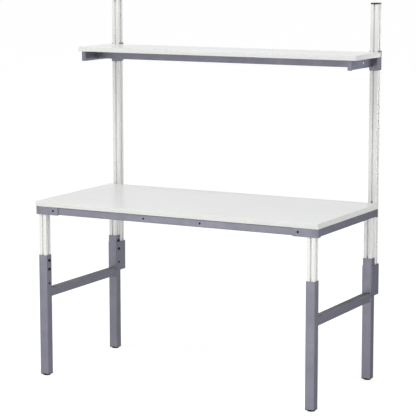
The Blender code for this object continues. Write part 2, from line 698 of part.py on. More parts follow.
beam_reach = arm_x - CLEARANCE
beam_y = arm_rear_y - BEAM_FORWARD - BEAM_DEPTH / 2
beam_z = shelf_bottom - CLEARANCE - BEAM_HEIGHT / 2
beam_mesh = prism(tube_section(BEAM_DEPTH, BEAM_HEIGHT, BEAM_CORNER, BEAM_WALL),
                  -beam_reach, beam_reach, along="X")
piece("shelf_beam", beam_mesh, blue_grey_paint, shelf, (0.0, beam_y, beam_z))

right_arm = shelf_arm()
collar_mesh = collar()
for side, hand in sides:
    arm = right_arm if hand > 0 else mirrored(right_arm)
    piece(f"{side}_shelf_arm", arm, blue_grey_paint, shelf)
    place = (hand * leg_x, upright_y, collar_bottom)
    mesh = collar_mesh if hand < 0 else mirrored(collar_mesh)
    piece(f"{side}_shelf_collar", mesh, blue_grey_paint, shelf, place)
    face = hand * (leg_x - PROFILE_SIDE / 2)
    for level, rise in (("lower", COLLAR_BOLT_LOW), ("upper", COLLAR_BOLT_HIGH)):
        piece(f"{side}_collar_{level}_bolt", bolt_mesh, black_steel, shelf,
              (face, upright_y, collar_bottom + rise), (0.0, 0.0, hand * math.pi / 2))
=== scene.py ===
import math

import bmesh
import bpy
import numpy as np
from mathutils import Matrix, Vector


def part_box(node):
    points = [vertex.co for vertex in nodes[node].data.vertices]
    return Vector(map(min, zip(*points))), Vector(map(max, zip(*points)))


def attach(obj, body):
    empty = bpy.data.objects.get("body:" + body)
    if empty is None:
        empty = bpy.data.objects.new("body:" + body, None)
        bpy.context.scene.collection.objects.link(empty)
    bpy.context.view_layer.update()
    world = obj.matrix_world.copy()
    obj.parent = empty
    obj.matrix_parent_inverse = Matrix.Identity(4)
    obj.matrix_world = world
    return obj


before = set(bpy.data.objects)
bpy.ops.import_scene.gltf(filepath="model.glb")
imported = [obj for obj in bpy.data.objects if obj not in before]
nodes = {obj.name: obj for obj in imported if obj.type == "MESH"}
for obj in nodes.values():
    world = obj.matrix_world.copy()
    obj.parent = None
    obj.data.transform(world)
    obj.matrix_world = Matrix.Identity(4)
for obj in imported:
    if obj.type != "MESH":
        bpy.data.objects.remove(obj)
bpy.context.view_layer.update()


# Worktop and shelf board
# Chipboard, 25 and 22 mm thick, with a pale grey melamine face above and below, which has a fine
# pearl texture. Both boards are screwed to the steel under them.

def add(tree, kind, inputs=None, **settings):
    """Adds a node with its settings. An input is a value or another node's output."""
    node = tree.nodes.new(kind)
    for name, value in settings.items():
        setattr(node, name, value)
    for key, value in (inputs or {}).items():
        if isinstance(value, bpy.types.NodeSocket):
            tree.links.new(value, node.inputs[key])
        else:
            node.inputs[key].default_value = value
    return node


def calc(tree, operation, a, b=0.0):
    """One Math node's result."""
    return add(tree, "ShaderNodeMath", {0: a, 1: b}, operation=operation).outputs[0]


def spread(tree, value, low, high, to_low, to_high):
    """Maps the span from low to high on that from to_low to to_high, and clamps it."""
    return add(tree, "ShaderNodeMapRange", {
        "Value": value, "From Min": low, "From Max": high,
        "To Min": to_low, "To Max": to_high}).outputs[0]


def blend(tree, share, first, second):
    """Goes from the first colour to the second with share."""
    node = add(tree, "ShaderNodeMix", {0: share, 6: first, 7: second}, data_type="RGBA")
    return node.outputs[2]


def effect(name, inputs, outputs):
    """Starts a node group with named inputs, each a kind and a default, and named outputs."""
    tree = bpy.data.node_groups.new(name, "ShaderNodeTree")
    for label, (kind, default) in inputs.items():
        socket = tree.interface.new_socket(label, in_out="INPUT", socket_type="NodeSocket" + kind)
        if default is not None:
            socket.default_value = default
    for label in outputs:
        tree.interface.new_socket(label, in_out="OUTPUT", socket_type="NodeSocketFloat")
    return tree, tree.nodes.new("NodeGroupInput").outputs, tree.nodes.new("NodeGroupOutput").inputs


def place_effect(tree, group, inputs):
    """Places a shared effect in a material. Returns its outputs."""
    return add(tree, "ShaderNodeGroup", inputs, node_tree=group).outputs


def finish(name, roughness, metallic=0.0, specular=0.5):
    """A material with one Principled shader. Returns it with its tree, its shader and its place."""
    material = bpy.data.materials.new(name)
    material.use_nodes = True
    tree = material.node_tree
    shader = tree.nodes["Principled BSDF"]
    shader.inputs["Roughness"].default_value = roughness
    shader.inputs["Metallic"].default_value = metallic
    shader.inputs["Specular IOR Level"].default_value = specular
    place = add(tree, "ShaderNodeTexCoord").outputs["Object"]
    return material, tree, shader, place


def relief(tree, shader, height, depth):
    """Lets a height of 0 to 1 dent the surface by depth metres."""
    bump = add(tree, "ShaderNodeBump", {"Strength": 1.0, "Distance": depth, "Height": height})
    tree.links.new(bump.outputs["Normal"], shader.inputs["Normal"])


# Fine lumps of a moulded, pressed or sprayed surface, and slow clouds of tone
lumps, given, made = effect("lumps_and_clouds", {
    "Place": ("Vector", None), "Lump": ("Float", 0.0008), "Cloud": ("Float", 0.2)},
    ("Lumps", "Clouds"))
lump_noise = add(lumps, "ShaderNodeTexNoise", {
    "Vector": given["Place"], "Scale": calc(lumps, "DIVIDE", 1.0, given["Lump"]),
    "Detail": 2.0, "Roughness": 0.5})
cloud_noise = add(lumps, "ShaderNodeTexNoise", {
    "Vector": given["Place"], "Scale": calc(lumps, "DIVIDE", 1.0, given["Cloud"]),
    "Detail": 4.0, "Roughness": 0.6})
lumps.links.new(lump_noise.outputs[0], made["Lumps"])
lumps.links.new(spread(lumps, cloud_noise.outputs[0], 0.3, 0.7, 0.0, 1.0), made["Clouds"])

# Hairline scratches: the cell borders of a warped net, let through in patches only
scratches, given, made = effect("hairline_scratches", {
    "Place": ("Vector", None), "Cell": ("Float", 0.05), "Width": ("Float", 0.004),
    "Patch": ("Float", 0.1)}, ("Scratches",))
warp = add(scratches, "ShaderNodeTexNoise", {
    "Vector": given["Place"], "Scale": calc(scratches, "DIVIDE", 0.6, given["Cell"]),
    "Detail": 1.0})
bent = add(scratches, "ShaderNodeVectorMath", {0: warp.outputs["Color"]}, operation="SCALE")
scratches.links.new(calc(scratches, "MULTIPLY", given["Cell"], 0.7), bent.inputs["Scale"])
moved = add(scratches, "ShaderNodeVectorMath", {0: given["Place"], 1: bent.outputs[0]},
            operation="ADD")
net = add(scratches, "ShaderNodeTexVoronoi", {
    "Vector": moved.outputs[0], "Scale": calc(scratches, "DIVIDE", 1.0, given["Cell"])},
    feature="DISTANCE_TO_EDGE")
patch = add(scratches, "ShaderNodeTexNoise", {
    "Vector": given["Place"], "Scale": calc(scratches, "DIVIDE", 1.0, given["Patch"]),
    "Detail": 3.0})
line = calc(scratches, "LESS_THAN", net.outputs["Distance"], given["Width"])
shown = spread(scratches, patch.outputs[0], 0.56, 0.66, 0.0, 1.0)
scratches.links.new(calc(scratches, "MULTIPLY", line, shown), made["Scratches"])

LAMINATE = (0.762, 0.772, 0.764, 1.0)
LAMINATE_SHADE = (0.74, 0.75, 0.742, 1.0)
LAMINATE_SCRATCH = (0.70, 0.70, 0.69, 1.0)
laminate, tree, shader, place = finish("grey_laminate", 0.42, specular=0.35)
texture = place_effect(tree, lumps, {"Place": place, "Lump": 0.0011, "Cloud": 0.35})
marks = place_effect(tree, scratches, {
    "Place": place, "Cell": 0.09, "Width": 0.0022, "Patch": 0.14})
tone = blend(tree, texture["Clouds"], LAMINATE, LAMINATE_SHADE)
worn = calc(tree, "MULTIPLY", marks["Scratches"], 0.2)
tree.links.new(blend(tree, worn, tone, LAMINATE_SCRATCH), shader.inputs["Base Color"])
sheen = spread(tree, texture["Clouds"], 0.0, 1.0, 0.27, 0.33)
tree.links.new(calc(tree, "ADD", sheen, calc(tree, "MULTIPLY", worn, 0.3)),
               shader.inputs["Roughness"])
relief(tree, shader, texture["Lumps"], 0.000012)


SHARP_TURN = 32  # degrees: where faces turn more than this, the edge between them stays sharp


def soft_shading_tree():
    """Geometry nodes that shade every face smooth and mark the edges past SHARP_TURN as sharp."""
    tree = bpy.data.node_groups.new("soft_shading", "GeometryNodeTree")
    tree.interface.new_socket("Geometry", in_out="INPUT", socket_type="NodeSocketGeometry")
    tree.interface.new_socket("Geometry", in_out="OUTPUT", socket_type="NodeSocketGeometry")
    source = tree.nodes.new("NodeGroupInput").outputs[0]
    smooth = add(tree, "GeometryNodeSetShadeSmooth", {"Geometry": source, "Shade Smooth": True},
                 domain="FACE")
    angle = add(tree, "GeometryNodeInputMeshEdgeAngle")
    keen = add(tree, "FunctionNodeCompare", {0: angle.outputs[0], 1: math.radians(SHARP_TURN)},
               data_type="FLOAT", operation="GREATER_THAN")
    sharp = add(tree, "GeometryNodeSetShadeSmooth", {
        "Geometry": smooth.outputs[0], "Selection": keen.outputs[0], "Shade Smooth": False},
        domain="EDGE")
    tree.links.new(sharp.outputs[0], tree.nodes.new("NodeGroupOutput").inputs[0])
    return tree


soft_shading = soft_shading_tree()
SAME_POINT = 0.00001  # metres: points of a CAD node nearer than this are one
KEEN_TURN = 50  # degrees: edges that turn more than this get the small round


def dress(names, material, edge=0.0, inset=0.0):
    """Gives CAD nodes their material, a small round on every keen edge, and smooth shading.

    With inset, the faces draw back by so much, so that a skin over them stays inside the CAD box.
    """
    for name in names:
        obj = nodes[name]
        obj.data.materials.clear()
        obj.data.materials.append(material)
        weld = obj.modifiers.new("Weld", "WELD")
        weld.merge_threshold = SAME_POINT
        if inset:
            draw_back = obj.modifiers.new("Inset", "DISPLACE")
            draw_back.mid_level = 0.0
            draw_back.strength = -inset
        if edge:
            bevel = obj.modifiers.new("Edge", "BEVEL")
            bevel.width = edge
            bevel.segments = 2
            bevel.limit_method = "ANGLE"
            bevel.angle_limit = math.radians(KEEN_TURN)
            bevel.use_clamp_overlap = True
        obj.modifiers.new("Shading", "NODES").node_group = soft_shading
        level = obj.modifiers.new("Level_faces", "WEIGHTED_NORMAL")
        level.keep_sharp = True
        level.weight = 100


BAND_PROUD = 0.00015  # how far the edge bands stand out from the laminate
dress(["worktop", "shelf_board"], laminate, inset=BAND_PROUD)


# Edge bands
# Plastic strips 1.2 mm thick, glued round both boards and trimmed with a small radius. They are
# a little warmer and duller than the laminate, and stand a hair proud of it.
SAME_PLACE = 0.000001  # metres: points of a new piece nearer than this are one


def surface(name, grids, closed_u=True, closed_v=True):
    """One mesh from several grids of points[u, v], each closed along u and v as told.

    Points that meet at a pole become one, and closed forms get their faces turned outwards.
    """
    points, quads, start = [], [], 0
    for grid in grids:
        rows, columns = grid.shape[:2]
        u, v = np.meshgrid(np.arange(rows if closed_u else rows - 1),
                           np.arange(columns if closed_v else columns - 1), indexing="ij")
        u_next, v_next = (u + 1) % rows, (v + 1) % columns
        corners = [(u, v), (u_next, v), (u_next, v_next), (u, v_next)]
        quads.append(np.stack([start + a * columns + b for a, b in corners], -1).reshape(-1, 4))
        points.append(grid.reshape(-1, 3))
        start += rows * columns
    mesh = bpy.data.meshes.new(name)
    mesh.from_pydata(np.concatenate(points).tolist(), [], np.concatenate(quads).tolist())
    if closed_u:
        form = bmesh.new()
        form.from_mesh(mesh)
        bmesh.ops.remove_doubles(form, verts=form.verts, dist=SAME_PLACE)
        bmesh.ops.recalc_face_normals(form, faces=form.faces)
        form.to_mesh(mesh)
        form.free()
    mesh.shade_smooth()
    obj = bpy.data.objects.new(name, mesh)
    bpy.context.scene.collection.objects.link(obj)
    return obj


def put(obj, material, body):
    """Gives a new piece its material and its body."""
    obj.data.materials.append(material)
    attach(obj, body)


def rounded_loop(width, depth, radius, steps=6):
    """Points and outward normals round a rectangle with round corners, counter-clockwise.

    Each corner's centre lies radius inside the rectangle, and its arc takes steps + 1 points.
    """
    turn = np.linspace(0, math.pi / 2, steps + 1)
    angles = np.concatenate([turn + k * math.pi / 2 for k in range(4)])
    middle = np.repeat(np.array([[1, 1], [-1, 1], [-1, -1], [1, -1]]), steps + 1, axis=0)
    normals = np.stack([np.cos(angles), np.sin(angles)], -1)
    inner = np.array([width / 2 - radius, depth / 2 - radius])
    return middle * inner + normals * radius, normals


BAND_THICKNESS = 0.0012
BAND_ROUND = 0.00055
BOARD_CORNER = 0.003
EDGE_BAND = (0.785, 0.788, 0.763, 1.0)
EDGE_BAND_SHADE = (0.755, 0.758, 0.733, 1.0)
edge_band, tree, shader, place = finish("edge_band", 0.45, specular=0.25)
texture = place_effect(tree, lumps, {"Place": place, "Lump": 0.002, "Cloud": 0.08})
tree.links.new(blend(tree, texture["Clouds"], EDGE_BAND, EDGE_BAND_SHADE),
               shader.inputs["Base Color"])
relief(tree, shader, texture["Lumps"], 0.00003)


def banded(name, board, body):
    """A strip's section, carried round the board: point = loop + normal * out + up * height."""
    low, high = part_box(board)
    thickness = high.z - low.z
    loop, normals = rounded_loop(high.x - low.x, high.y - low.y, BOARD_CORNER)
    section, _ = rounded_loop(BAND_THICKNESS, thickness, BAND_ROUND, 4)
    out = section[:, 0] - BAND_THICKNESS / 2
    grid = np.empty((len(loop), len(section), 3))
    grid[..., :2] = loop[:, None] + normals[:, None] * out[None, :, None]
    grid[..., 2] = section[None, :, 1]
    grid += np.array([(low.x + high.x) / 2, (low.y + high.y) / 2, (low.z + high.z) / 2])
    put(surface(name, [grid]), edge_band, body)


banded("worktop_edge_band", "worktop", "table")
banded("shelf_edge_band", "shelf_board", "shelf")


# Steel frame
# Folded channels of 2 mm sheet and corner brackets of 3 mm sheet, welded, and powder-coated in a
# metallic blue-grey with a fine orange peel.

# Paint rubbed thin on keen edges, found where the surface turns within a small radius
edges, given, made = effect("rubbed_edges", {
    "Place": ("Vector", None), "Reach": ("Float", 0.0008)}, ("Edges",))
round_normal = add(edges, "ShaderNodeBevel", samples=4)
edges.links.new(given["Reach"], round_normal.inputs["Radius"])
straight = add(edges, "ShaderNodeNewGeometry").outputs["Normal"]
alike = add(edges, "ShaderNodeVectorMath", {0: round_normal.outputs[0], 1: straight},
            operation="DOT_PRODUCT").outputs["Value"]
broken = add(edges, "ShaderNodeTexNoise", {"Vector": given["Place"], "Scale": 90.0, "Detail": 3.0})
turned_away = spread(edges, alike, 0.995, 0.93, 0.0, 1.0)
edges.links.new(calc(edges, "MULTIPLY", turned_away,
                     spread(edges, broken.outputs[0], 0.4, 0.65, 0.0, 1.0)), made["Edges"])

# Dust that has settled on whatever faces up
dust, given, made = effect("settled_dust", {"Place": ("Vector", None)}, ("Dust",))
upward = add(dust, "ShaderNodeSeparateXYZ", {
    0: add(dust, "ShaderNodeNewGeometry").outputs["Normal"]}).outputs["Z"]
fluff = add(dust, "ShaderNodeTexNoise", {"Vector": given["Place"], "Scale": 120.0, "Detail": 5.0})
dust.links.new(calc(dust, "MULTIPLY", spread(dust, upward, 0.8, 1.0, 0.0, 1.0),
                    spread(dust, fluff.outputs[0], 0.3, 0.7, 0.6, 1.0)), made["Dust"])

PAINT = (0.204, 0.205, 0.244, 1.0)
PAINT_DEEP = (0.181, 0.183, 0.220, 1.0)
PAINT_FLAKE = (0.36, 0.365, 0.40, 1.0)
PAINT_RUBBED = (0.34, 0.34, 0.37, 1.0)
FLAKE_EDGE = (0.05, 0.05, 0.05, 1.0)  # the flakes lie flat, so the coat darkens seen from the side
DUST = (0.48, 0.47, 0.45, 1.0)
PAINT_METAL = 0.85
paint, tree, shader, place = finish("blue_grey_powder_coat", 0.46, specular=0.08)
shader.inputs["Specular Tint"].default_value = FLAKE_EDGE
texture = place_effect(tree, lumps, {"Place": place, "Lump": 0.0016, "Cloud": 0.11})
flakes = add(tree, "ShaderNodeTexVoronoi", {"Vector": place, "Scale": 1400.0})
glints = spread(tree, flakes.outputs["Color"], 0.62, 0.95, 0.0, 0.35)
rubbed = place_effect(tree, edges, {"Place": place})
settled = place_effect(tree, dust, {"Place": place})
tone = blend(tree, texture["Clouds"], PAINT, PAINT_DEEP)
tone = blend(tree, glints, tone, PAINT_FLAKE)
tone = blend(tree, calc(tree, "MULTIPLY", rubbed["Edges"], 0.45), tone, PAINT_RUBBED)
dusty = calc(tree, "MULTIPLY", settled["Dust"], 0.45)
tone = blend(tree, dusty, tone, DUST)
tree.links.new(tone, shader.inputs["Base Color"])
tree.links.new(calc(tree, "SUBTRACT", PAINT_METAL, dusty), shader.inputs["Metallic"])
sheen = spread(tree, texture["Clouds"], 0.0, 1.0, 0.42, 0.50)
tree.links.new(calc(tree, "ADD", sheen, calc(tree, "MULTIPLY", settled["Dust"], 0.2)),
               shader.inputs["Roughness"])
relief(tree, shader, texture["Lumps"], 0.00012)

SIDES = (("left", -1), ("right", 1))
CORNERS = [f"{side}_{end}" for side, _ in SIDES for end in ("front", "rear")]
dress(["front_rail", "rear_rail", "left_rail", "right_rail"], paint, edge=0.0004)
dress([f"{corner}_corner" for corner in CORNERS], paint, edge=0.0004)


# Rivets of the frame
# Painted-over blind rivets with a flat head, about 8 mm wide, and the mark of the pulled pin. One
# sits beside each corner on the front and the rear, and two on each side rail.

def turned(places, axis, outline, sides=20):
    """Grids of (radius, height) outlines, turned about axis at each place.

    point = place + axis * height + radius * (across * cos a + upright * sin a)
    """
    axis = np.array(axis, float)
    across = np.cross(axis, (0.0, 0.0, 1.0)) if abs(axis[2]) < 0.9 else np.array((1.0, 0.0, 0.0))
    upright = np.cross(axis, across)
    a = np.linspace(0, 2 * math.pi, sides, endpoint=False)[:, None, None]
    outline = np.array(outline, float)
    radius, height = outline[None, :, 0, None], outline[None, :, 1, None]
    grid = axis * height + radius * (across * np.cos(a) + upright * np.sin(a))
    return [grid + np.array(place) for place in places]


RIVET_RADIUS = 0.0042
RIVET_HEIGHT = 0.00045
RIVET_RIM = 0.0008
RIVET_SEAT = -0.0018
angle = np.linspace(0, math.pi / 2, 7)
head = np.stack([RIVET_RADIUS - RIVET_RIM + RIVET_RIM * np.cos(angle),
                 RIVET_HEIGHT * np.sin(angle)], -1)
# The rim of the pin's hole, its wall and its floor, (radius, height)
pin_mark = [(0.0021, RIVET_HEIGHT), (0.0018, -0.0010), (0.0, -0.0012)]
rivet = np.concatenate([[(0.0, RIVET_SEAT), (RIVET_RADIUS, RIVET_SEAT)], head, pin_mark])

rail_low, rail_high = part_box("front_rail")
rail_middle = (rail_low.z + rail_high.z) / 2
top_low, top_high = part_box("worktop")
RIVET_FROM_END = 0.025
RIVET_FROM_FRONT = 0.100
rivet_rows = []
for end, outward in (("front", -1), ("rear", 1)):
    low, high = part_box(f"left_{end}_corner")
    face = low.y if outward < 0 else high.y
    reach = top_high.x - RIVET_FROM_END
    spots = [(hand * reach, face, rail_middle) for _, hand in SIDES]
    rivet_rows.append((f"{end}_rivet", spots, (0.0, outward, 0.0)))
for side, hand in SIDES:
    low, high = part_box(f"{side}_rail")
    face = low.x if hand < 0 else high.x
    spots = [(face, y, rail_middle) for y in (top_low.y + RIVET_FROM_FRONT,
                                              top_high.y - RIVET_FROM_FRONT)]
    rivet_rows.append((f"{side}_rail_rivet", spots, (hand, 0.0, 0.0)))
for name, spots, axis in rivet_rows:
    put(surface(name + "s", turned(spots, axis, rivet), closed_v=False), paint, "table")


# Legs and uprights
# Extruded aluminium profile, naturally anodised: satin, with faint lines from the die along its
# length. The legs slide in the tubes, and the uprights stand bolted to their brackets.

# Long faint lines: noise that changes fast across the length and slowly along it
lines, given, made = effect("drawn_lines", {
    "Place": ("Vector", None), "Across": ("Float", 0.0006), "Along": ("Float", 0.3)}, ("Lines",))
spot = add(lines, "ShaderNodeSeparateXYZ", {0: given["Place"]}).outputs
squeezed = add(lines, "ShaderNodeCombineXYZ", {
    "X": calc(lines, "DIVIDE", spot["X"], given["Across"]),
    "Y": calc(lines, "DIVIDE", spot["Y"], given["Across"]),
    "Z": calc(lines, "DIVIDE", spot["Z"], given["Along"])})
stripe = add(lines, "ShaderNodeTexNoise", {
    "Vector": squeezed.outputs[0], "Scale": 1.0, "Detail": 2.0})
lines.links.new(spread(lines, stripe.outputs[0], 0.3, 0.7, 0.0, 1.0), made["Lines"])

ANODISED = (0.77, 0.775, 0.755, 1.0)
ANODISED_LINE = (0.735, 0.74, 0.72, 1.0)
ANODISED_SCUFF = (0.83, 0.83, 0.82, 1.0)
ANODISED_SLOT_PAINTED_LIGHT = (0.93, 0.93, 0.92, 1.0)  # painted light: a paler colour in the slots that lifts the shade falling in them
SLOT_BELOW = 0.0186  # from the profile's axis: nearer than this is inside a slot
FACE_ABOVE = 0.0194  # and further than this is an outer face
aluminium, tree, shader, place = finish("anodised_aluminium", 0.54, metallic=0.45, specular=0.3)
drawn = place_effect(tree, lines, {"Place": place})
texture = place_effect(tree, lumps, {"Place": place, "Lump": 0.0007, "Cloud": 0.15})
marks = place_effect(tree, scratches, {
    "Place": place, "Cell": 0.03, "Width": 0.004, "Patch": 0.06})
tone = blend(tree, calc(tree, "MULTIPLY", drawn["Lines"], 0.6), ANODISED, ANODISED_LINE)
tone = blend(tree, calc(tree, "MULTIPLY", marks["Scratches"], 0.2), tone, ANODISED_SCUFF)
axes = [(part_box(name)[0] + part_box(name)[1]) / 2
        for name in ("right_front_leg", "right_rear_leg", "right_upright")]
spot = add(tree, "ShaderNodeSeparateXYZ", {0: place}).outputs
from_middle = calc(tree, "ABSOLUTE", spot["X"])
across = calc(tree, "ABSOLUTE", calc(tree, "SUBTRACT", from_middle, axes[0].x))
along = [calc(tree, "ABSOLUTE", calc(tree, "SUBTRACT", spot["Y"], axis.y)) for axis in axes]
nearest = calc(tree, "MINIMUM", along[0], calc(tree, "MINIMUM", along[1], along[2]))
from_axis = calc(tree, "MAXIMUM", across, nearest)
# Painted light: the colour turns paler inside the slots, against the shade that falls there.
slot_painted_light = spread(tree, from_axis, SLOT_BELOW, FACE_ABOVE, 1.0, 0.0)
tree.links.new(blend(tree, slot_painted_light, tone, ANODISED_SLOT_PAINTED_LIGHT), shader.inputs["Base Color"])
sheen = spread(tree, drawn["Lines"], 0.0, 1.0, 0.52, 0.58)
tree.links.new(calc(tree, "ADD", sheen, calc(tree, "MULTIPLY", texture["Clouds"], 0.05)),
               shader.inputs["Roughness"])
relief(tree, shader, drawn["Lines"], 0.000006)

dress([f"{corner}_leg" for corner in CORNERS], aluminium, edge=0.0003)
dress([f"{side}_upright" for side, _ in SIDES], aluminium, edge=0.0003)


# Tubes and cross bars of the side frames
# Square steel tubes in the same powder coat. Each cross bar is welded between its two tubes, with a
# bead that runs round each end. A folded bracket joins the rear tube and the upright.
dress([f"{corner}_tube" for corner in CORNERS], paint, edge=0.0004)
dress([f"{side}_cross_bar" for side, _ in SIDES], paint)
dress([f"{side}_upright_bracket" for side, _ in SIDES], paint, edge=0.0006)

WELD_RADIUS = 0.0022
WELD_RIPPLE = 0.0035
WELD_SWELL = 0.08
BAR_CORNER = 0.004
BEAD_SIDES = 10


def rippled(run):
    """A bead's radius along its run, which swells with every ripple.

    radius = r * (1 - swell + swell * cos(turn)), where turn goes once round with each ripple
    """
    turn = run * 2 * math.pi / WELD_RIPPLE
    return WELD_RADIUS * (1 - WELD_SWELL + WELD_SWELL * np.cos(turn))


def weld_beads(ends, width, height, corner):
    """A bead round each end of a square bar: a tube along the bar's outline, with ripples.

    point = outline + normal * r cos v + along * r sin v, where r swells with every ripple.
    """
    loop, normals = rounded_loop(width, height, corner, 8)
    steps = 160
    path = np.concatenate([loop, loop[:1]])
    run = np.concatenate([[0.0], np.cumsum(np.linalg.norm(np.diff(path, axis=0), axis=1))])
    at = np.linspace(0, run[-1], steps, endpoint=False)
    x, z = (np.interp(at, run, path[:, k]) for k in (0, 1))
    closed = np.concatenate([normals, normals[:1]])
    nx, nz = (np.interp(at, run, closed[:, k]) for k in (0, 1))
    v = np.linspace(0, 2 * math.pi, BEAD_SIDES, endpoint=False)
    size = rippled(at)
    grids = []
    for centre, along in ends:
        grid = np.empty((steps, len(v), 3))
        out = size[:, None] * np.cos(v)
        grid[..., 0] = centre[0] + x[:, None] + nx[:, None] * out
        grid[..., 1] = centre[1] + along * size[:, None] * np.sin(v)
        grid[..., 2] = centre[2] + z[:, None] + nz[:, None] * out
        grids.append(grid)
    return grids


for side, hand in SIDES:
    low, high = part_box(f"{side}_cross_bar")
    middle = (low.x + high.x) / 2, (low.z + high.z) / 2
    ends = [((middle[0], low.y, middle[1]), 1), ((middle[0], high.y, middle[1]), -1)]
    grids = weld_beads(ends, high.x - low.x, high.z - low.z, BAR_CORNER)
    put(surface(f"{side}_cross_bar_welds", grids), paint, "base")


# Feet
# Black moulded inserts close the tubes' lower ends. Levelling feet with a round pad and a threaded
# stem screw up into them. The glides inside the tubes are of the same plastic.
RUBBER_BLACK = (0.003, 0.003, 0.0033, 1.0)
RUBBER_WORN = (0.006, 0.006, 0.006, 1.0)
black_plastic, tree, shader, place = finish("black_plastic", 0.65, specular=0.06)
texture = place_effect(tree, lumps, {"Place": place, "Lump": 0.0006, "Cloud": 0.02})
settled = place_effect(tree, dust, {"Place": place})
tone = blend(tree, calc(tree, "MULTIPLY", texture["Clouds"], 0.5), RUBBER_BLACK, RUBBER_WORN)
tone = blend(tree, calc(tree, "MULTIPLY", settled["Dust"], 0.15), tone, DUST)
tree.links.new(tone, shader.inputs["Base Color"])
relief(tree, shader, texture["Lumps"], 0.00005)
dress([f"{corner}_foot_insert" for corner in CORNERS], black_plastic, edge=0.0003)
dress([f"{corner}_foot" for corner in CORNERS], black_plastic)
dress([f"{corner}_leg_glide" for corner in CORNERS], black_plastic, edge=0.0003)


# Screws and bolts
# The clamp screws of the tubes and the slot bolts of the uprights, of blackened and oiled steel,
# with brighter rims where the key has turned them. The rivets' pulled pins are of the same dark
# steel, which is partly painted shade: each pin fills its hole, where shade would fall, with black.
BLACK_OXIDE = (0.014, 0.014, 0.016, 1.0)
BLACK_OXIDE_RUBBED = (0.10, 0.10, 0.11, 1.0)
black_steel, tree, shader, place = finish("blackened_steel", 0.36, metallic=0.8, specular=0.3)
texture = place_effect(tree, lumps, {"Place": place, "Lump": 0.0008, "Cloud": 0.01})
rubbed = place_effect(tree, edges, {"Place": place, "Reach": 0.0005})
tone = blend(tree, calc(tree, "MULTIPLY", rubbed["Edges"], 0.7), BLACK_OXIDE, BLACK_OXIDE_RUBBED)
tree.links.new(tone, shader.inputs["Base Color"])
tree.links.new(spread(tree, texture["Clouds"], 0.0, 1.0, 0.3, 0.45), shader.inputs["Roughness"])
relief(tree, shader, texture["Lumps"], 0.00002)
dress([name for name in nodes if name.endswith("_screw") or name.endswith("_bolt")], black_steel)
# The pin's outline from inside the rivet out to its broken end, (radius, height)
pin = [(0.0, -0.0016), (0.0017, -0.0016), (0.0017, -0.0002), (0.0013, 0.0003), (0.0, 0.0003)]
# Painted shade in part: a black pin fills each rivet's hole, where shade would fall.
for name, spots, axis in rivet_rows:
    put(surface(name + "_pins", turned(spots, axis, pin), closed_v=False), black_steel, "table")


# Blind nuts
# Blind nuts with a small flat flange, pulled tight in the holes of the front and rear rails, where
# accessories are screwed on. They are blackened steel throughout, threads and all, which is partly
# painted shade: it makes each hole as dark as the shade inside it.
NUT_MOUTH = 0.0040
NUT_BARREL = 0.0043
NUT_FLANGE = 0.0053
FLANGE_HEIGHT = 0.0003
FLANGE_SEAT = -0.0002
NUT_LENGTH = 0.012
NUT_CHAMFER = 0.0006
THREAD_TURNS = 20
THREAD_START = -0.0006
THREAD_STEP = 0.0005
THREAD_DEPTH = 0.0003
NUT_BLIND_END = 0.0008
NUT_FROM_MIDDLE = 0.150
NUT_AT_CORNER = 0.650
thread_turn = np.arange(THREAD_TURNS)
thread = np.stack([NUT_MOUTH - THREAD_DEPTH * (thread_turn % 2),
                   THREAD_START - THREAD_STEP * thread_turn], -1)
shell = [(0.0, -NUT_LENGTH), (NUT_BARREL - NUT_CHAMFER, -NUT_LENGTH),
         (NUT_BARREL, NUT_CHAMFER - NUT_LENGTH), (NUT_BARREL, FLANGE_SEAT),
         (NUT_FLANGE, FLANGE_SEAT), (NUT_FLANGE, FLANGE_HEIGHT), (NUT_MOUTH, FLANGE_HEIGHT)]
nut = np.concatenate([shell, thread, [(0.0, thread[-1, 1] - NUT_BLIND_END)]])
for end, outward in (("front", -1), ("rear", 1)):
    spots = []
    for part, reach in ((f"{end}_rail", NUT_FROM_MIDDLE), (f"left_{end}_corner", NUT_AT_CORNER)):
        low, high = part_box(part)
        face = low.y if outward < 0 else high.y
        spots += [(hand * reach, face, rail_middle) for _, hand in SIDES]
    grids = turned(spots, (0.0, outward, 0.0), nut)
    # Painted shade in part: the nuts' black darkens each hole as its own shade would.
    put(surface(f"{end}_blind_nuts", grids, closed_v=False), black_steel, "table")


# Small screws
# Blackened socket screws: a stop screw below the two clamp screws of each tube, one in the side of
# each upright bracket, one in a slot of the right upright, and those that hold the boards up.
SCREW_SEAT = -0.0004


def screw_head(radius, height):
    """The outline of a head with a rounded rim and a socket, (radius, height) from the back."""
    rim_angle = np.linspace(0, math.pi / 2, 5)
    rounding = min(0.25 * radius, 0.5 * height)
    bend = np.stack([radius - rounding + rounding * np.cos(rim_angle),
                     height - rounding + rounding * np.sin(rim_angle)], -1)
    socket = [(0.5 * radius, height), (0.45 * radius, 0.4 * height), (0.0, 0.3 * height)]
    return np.concatenate([[(0.0, SCREW_SEAT), (radius, SCREW_SEAT)], bend, socket])


